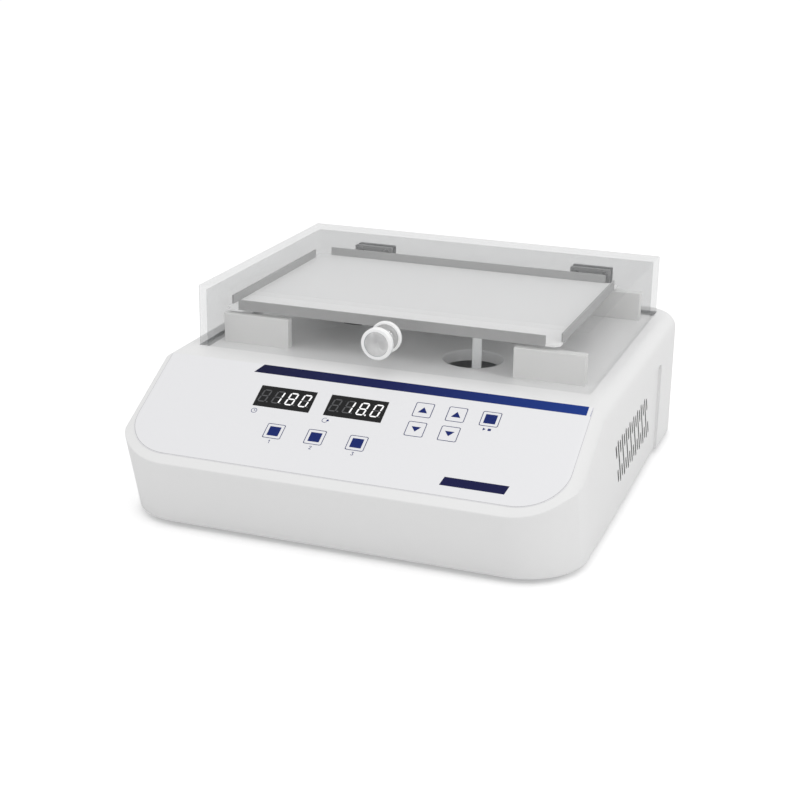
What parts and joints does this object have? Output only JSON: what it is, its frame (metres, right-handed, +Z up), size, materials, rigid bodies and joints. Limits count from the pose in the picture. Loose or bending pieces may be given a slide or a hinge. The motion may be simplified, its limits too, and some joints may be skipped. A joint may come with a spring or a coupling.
{
  "type": "orbital shaker",
  "caption": "Benchtop orbital shaker: sloped key panel with two displays, white rail-edged tray on a crank drive, hinged clear lid with knob.",
  "frame": {"origin": "centre of the footprint on the floor", "axes": "+X to the right as seen from the front, -Y towards the front with the key panel, +Z up"},
  "size_m": [0.39, 0.4274, 0.1743],
  "materials": {
    "housing": "gloss",
    "base_steel": "satin",
    "steel_screw": "satin",
    "foot_rubber": "matte",
    "panel_film": "satin",
    "display_black": "gloss",
    "circuit_board": "satin",
    "switch_plastic": "matte",
    "key_film": "satin",
    "block_white": "satin",
    "lid_acrylic": "clear",
    "knob_acrylic": "clear",
    "hinge_grey": "satin",
    "tray_white": "satin",
    "rail_grey": "satin",
    "rod_white": "satin",
    "rod_steel": "satin",
    "bearing_steel": "polished",
    "carriage_aluminium": "satin",
    "counterweight_iron": "satin",
    "motor_black": "satin",
    "belt_rubber": "matte",
    "inlet_black": "satin",
    "rocker_black": "gloss"
  },
  "bodies": {
    "base": {"housing": "housing", "base_plate": "base_steel", "base_screws": "steel_screw", "feet": "foot_rubber", "panel_film": "panel_film", "display_time": "display_black", "display_speed": "display_black", "control_board": "circuit_board", "board_screws": "steel_screw", "key_switches": "switch_plastic", "rest_block_front_left": "block_white", "rest_block_front_right": "block_white", "rest_block_rear_left": "block_white", "rest_block_rear_right": "block_white", "hinge_deck_leaf_left": "hinge_grey", "hinge_deck_leaf_right": "hinge_grey", "deck_hinge_screws": "steel_screw", "hinge_pins": "steel_screw", "idler_posts": "carriage_aluminium", "idler_bearings": "bearing_steel", "main_post": "carriage_aluminium", "main_bearings": "bearing_steel", "motor_bracket": "base_steel", "motor": "motor_black", "motor_screws": "steel_screw", "belt": "belt_rubber", "power_inlet": "inlet_black", "power_board": "circuit_board"},
    "lid": {"lid": "lid_acrylic", "lid_knob": "knob_acrylic", "knob_screw": "steel_screw", "hinge_lid_leaf_left": "hinge_grey", "hinge_lid_leaf_right": "hinge_grey", "lid_hinge_screws": "steel_screw", "hinge_clamps": "hinge_grey"},
    "crank": {"main_crank": "rod_steel", "counterweight": "counterweight_iron", "driven_pulley": "carriage_aluminium"},
    "tray": {"carriage": "carriage_aluminium", "carriage_bearings": "bearing_steel", "tray_rods": "rod_white", "rod_nuts": "steel_screw", "rod_flange_screws": "steel_screw", "tray": "tray_white", "tray_rail_front": "rail_grey", "tray_rail_rear": "rail_grey", "tray_rail_left": "rail_grey", "tray_rail_right": "rail_grey"},
    "idler_right": {"idler_crank_right": "rod_steel"},
    "idler_left": {"idler_crank_left": "rod_steel"},
    "motor_rotor": {"motor_pulley": "rod_steel"},
    "rocker": {"switch_rocker": "rocker_black"},
    "key_program_1": {"key_program_1": "key_film"},
    "key_program_2": {"key_program_2": "key_film"},
    "key_program_3": {"key_program_3": "key_film"},
    "key_time_up": {"key_time_up": "key_film"},
    "key_time_down": {"key_time_down": "key_film"},
    "key_speed_up": {"key_speed_up": "key_film"},
    "key_speed_down": {"key_speed_down": "key_film"},
    "key_run_stop": {"key_run_stop": "key_film"}
  },
  "joints": [
    {"name": "lid_hinge", "type": "hinge", "parent": "base", "child": "lid", "pos_m": [0, 0.194, 0.129], "axis": [-1, 0, 0], "range_deg": [0, 95]},
    {"name": "crank_spin", "type": "hinge", "parent": "base", "child": "crank", "pos_m": [-0.0033, 0.05535, 0.08], "axis": [0, 0, 1], "continuous": true},
    {"name": "tray_pin", "type": "hinge", "parent": "crank", "child": "tray", "pos_m": [-0.01178, 0.06065, 0.093], "axis": [0, 0, 1], "continuous": true},
    {"name": "idler_right_spin", "type": "hinge", "parent": "base", "child": "idler_right", "pos_m": [0.0707, 0.012, 0.08], "axis": [0, 0, 1], "continuous": true},
    {"name": "idler_left_spin", "type": "hinge", "parent": "base", "child": "idler_left", "pos_m": [-0.0633, 0, 0.08], "axis": [0, 0, 1], "continuous": true},
    {"name": "motor_spin", "type": "hinge", "parent": "base", "child": "motor_rotor", "pos_m": [0.11, 0.13, 0.062], "axis": [0, 0, 1], "continuous": true},
    {"name": "rocker_tip", "type": "hinge", "parent": "base", "child": "rocker", "pos_m": [-0.098, 0.2074, 0.055], "axis": [1, 0, 0], "range_deg": [-16, 0]},
    {"name": "press_program_1", "type": "slide", "parent": "base", "child": "key_program_1", "axis": [0, 0.4744, -0.8803], "range_m": [0, 0.00035], "stiffness_N_per_m": 2500, "springref_m": -0.0002},
    {"name": "press_program_2", "type": "slide", "parent": "base", "child": "key_program_2", "axis": [0, 0.4744, -0.8803], "range_m": [0, 0.00035], "stiffness_N_per_m": 2500, "springref_m": -0.0002},
    {"name": "press_program_3", "type": "slide", "parent": "base", "child": "key_program_3", "axis": [0, 0.4744, -0.8803], "range_m": [0, 0.00035], "stiffness_N_per_m": 2500, "springref_m": -0.0002},
    {"name": "press_time_up", "type": "slide", "parent": "base", "child": "key_time_up", "axis": [0, 0.4744, -0.8803], "range_m": [0, 0.00035], "stiffness_N_per_m": 2500, "springref_m": -0.0002},
    {"name": "press_time_down", "type": "slide", "parent": "base", "child": "key_time_down", "axis": [0, 0.4744, -0.8803], "range_m": [0, 0.00035], "stiffness_N_per_m": 2500, "springref_m": -0.0002},
    {"name": "press_speed_up", "type": "slide", "parent": "base", "child": "key_speed_up", "axis": [0, 0.4744, -0.8803], "range_m": [0, 0.00035], "stiffness_N_per_m": 2500, "springref_m": -0.0002},
    {"name": "press_speed_down", "type": "slide", "parent": "base", "child": "key_speed_down", "axis": [0, 0.4744, -0.8803], "range_m": [0, 0.00035], "stiffness_N_per_m": 2500, "springref_m": -0.0002},
    {"name": "press_run_stop", "type": "slide", "parent": "base", "child": "key_run_stop", "axis": [0, 0.4744, -0.8803], "range_m": [0, 0.00035], "stiffness_N_per_m": 2500, "springref_m": -0.0002}
  ],
  "couplings": [
    {"joint": "tray_pin", "follows": "crank_spin", "ratio": -1},
    {"joint": "idler_right_spin", "follows": "crank_spin", "ratio": 1},
    {"joint": "idler_left_spin", "follows": "crank_spin", "ratio": 1},
    {"joint": "motor_spin", "follows": "crank_spin", "ratio": 3.75}
  ]
}
